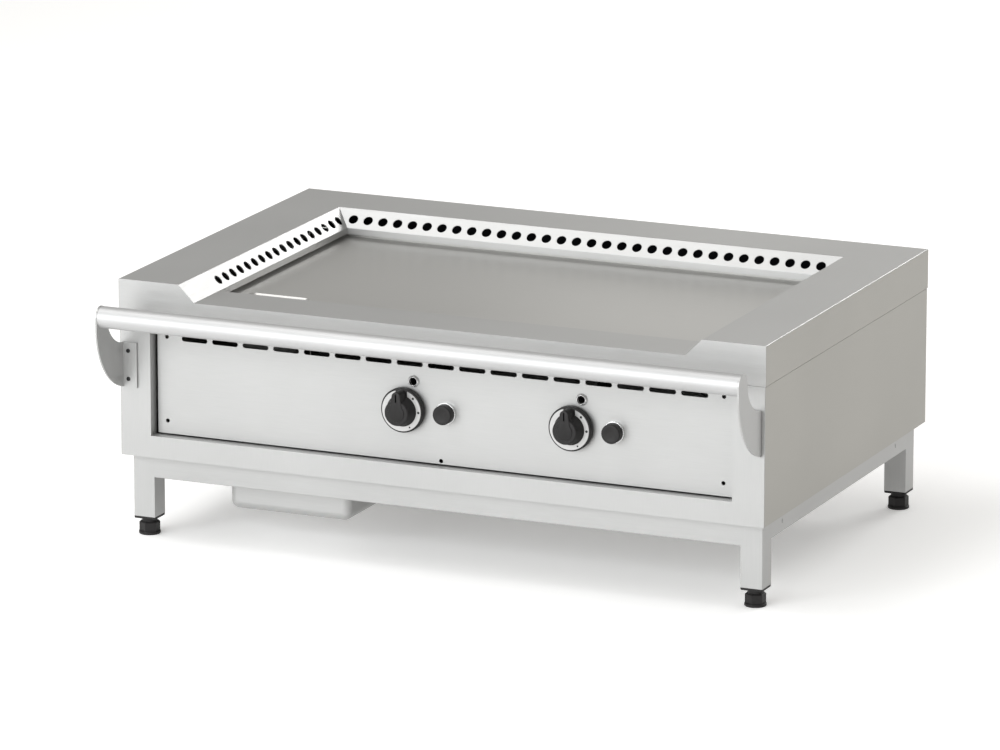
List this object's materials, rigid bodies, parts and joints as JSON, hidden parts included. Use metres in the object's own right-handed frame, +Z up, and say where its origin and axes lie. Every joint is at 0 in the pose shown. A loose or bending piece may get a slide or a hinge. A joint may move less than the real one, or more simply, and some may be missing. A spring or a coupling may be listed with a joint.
{
  "type": "flat top griddle",
  "caption": "Countertop gas griddle: flat plate in a perforated surround, front handrail, recessed control panel with knobs and push buttons, grease tray, levelling feet.",
  "frame": {"origin": "on the floor, at the middle of the footprint, handrail included", "axes": "+X to the right seen from the front, +Y to the rear, +Z up; the controls face -Y"},
  "size_m": [1.2, 0.8734, 0.462],
  "materials": {
    "sheet_steel": "satin stainless sheet",
    "plate_steel": "ground satin steel plate",
    "rail_steel": "polished stainless tube",
    "black_plastic": "satin black",
    "chrome": "bright",
    "zinc_steel": "dull zinc plated",
    "brass": "machined",
    "burner_iron": "matt black"
  },
  "bodies": {
    "griddle": {"base_panel": "zinc_steel", "burner_bar_front": "zinc_steel", "burner_bar_rear": "zinc_steel", "burner_left": "burner_iron", "burner_right": "burner_iron", "control_panel": "sheet_steel", "frame_rail_front": "sheet_steel", "frame_rail_left": "sheet_steel", "frame_rail_rear": "sheet_steel", "frame_rail_right": "sheet_steel", "front_lower_rail": "sheet_steel", "front_post_left": "sheet_steel", "front_post_right": "sheet_steel", "front_upper_rail": "sheet_steel", "gas_manifold": "zinc_steel", "gas_valve_left": "brass", "gas_valve_right": "brass", "grease_chute": "zinc_steel", "griddle_plate": "plate_steel", "handrail_bracket_left": "sheet_steel", "handrail_bracket_right": "sheet_steel", "handrail_tube": "rail_steel", "igniter_collar_left": "chrome", "igniter_collar_right": "chrome", "left_side_panel": "sheet_steel", "leg_front_left": "sheet_steel", "leg_front_right": "sheet_steel", "leg_insert_front_left": "black_plastic", "leg_insert_front_right": "black_plastic", "leg_insert_rear_left": "black_plastic", "leg_insert_rear_right": "black_plastic", "leg_rear_left": "sheet_steel", "leg_rear_right": "sheet_steel", "plate_support_front": "zinc_steel", "plate_support_rear": "zinc_steel", "rear_panel": "sheet_steel", "right_side_panel": "sheet_steel", "sight_ring_left": "chrome", "sight_ring_right": "chrome", "top_frame_front": "sheet_steel", "top_frame_left": "sheet_steel", "top_frame_rear": "sheet_steel", "top_frame_right": "sheet_steel", "tray_runner_left": "zinc_steel", "tray_runner_right": "zinc_steel"},
    "tray": {"grease_tray": "sheet_steel"},
    "left_spindle": {"valve_spindle_left": "zinc_steel"},
    "left_knob": {"control_knob_left": "black_plastic", "knob_dial_left": "chrome"},
    "left_button": {"igniter_button_left": "black_plastic"},
    "right_spindle": {"valve_spindle_right": "zinc_steel"},
    "right_knob": {"control_knob_right": "black_plastic", "knob_dial_right": "chrome"},
    "right_button": {"igniter_button_right": "black_plastic"},
    "foot_front_left": {"levelling_foot_front_left": "black_plastic"},
    "foot_front_right": {"levelling_foot_front_right": "black_plastic"},
    "foot_rear_left": {"levelling_foot_rear_left": "black_plastic"},
    "foot_rear_right": {"levelling_foot_rear_right": "black_plastic"}
  },
  "joints": [
    {"name": "left_valve_turn", "type": "hinge", "parent": "griddle", "child": "left_spindle", "pos_m": [-0.06675, -0.31325, 0.281], "axis": [0, -1, 0], "range_deg": [0, 160]},
    {"name": "left_knob_push", "type": "slide", "parent": "left_spindle", "child": "left_knob", "axis": [0, 1, 0], "range_m": [0, 0.003], "stiffness_N_per_m": 800, "springref_m": -0.002},
    {"name": "left_button_push", "type": "slide", "parent": "griddle", "child": "left_button", "axis": [0, 1, 0], "range_m": [0, 0.003], "stiffness_N_per_m": 600, "springref_m": -0.002},
    {"name": "right_valve_turn", "type": "hinge", "parent": "griddle", "child": "right_spindle", "pos_m": [0.24375, -0.31325, 0.281], "axis": [0, -1, 0], "range_deg": [0, 160]},
    {"name": "right_knob_push", "type": "slide", "parent": "right_spindle", "child": "right_knob", "axis": [0, 1, 0], "range_m": [0, 0.003], "stiffness_N_per_m": 800, "springref_m": -0.002},
    {"name": "right_button_push", "type": "slide", "parent": "griddle", "child": "right_button", "axis": [0, 1, 0], "range_m": [0, 0.003], "stiffness_N_per_m": 600, "springref_m": -0.002},
    {"name": "tray_slide", "type": "slide", "parent": "griddle", "child": "tray", "axis": [0, -1, 0], "range_m": [0, 0.25]},
    {"name": "foot_front_left_extend", "type": "slide", "parent": "griddle", "child": "foot_front_left", "axis": [0, 0, -1], "range_m": [0, 0.015]},
    {"name": "foot_front_right_extend", "type": "slide", "parent": "griddle", "child": "foot_front_right", "axis": [0, 0, -1], "range_m": [0, 0.015]},
    {"name": "foot_rear_left_extend", "type": "slide", "parent": "griddle", "child": "foot_rear_left", "axis": [0, 0, -1], "range_m": [0, 0.015]},
    {"name": "foot_rear_right_extend", "type": "slide", "parent": "griddle", "child": "foot_rear_right", "axis": [0, 0, -1], "range_m": [0, 0.015]}
  ]
}
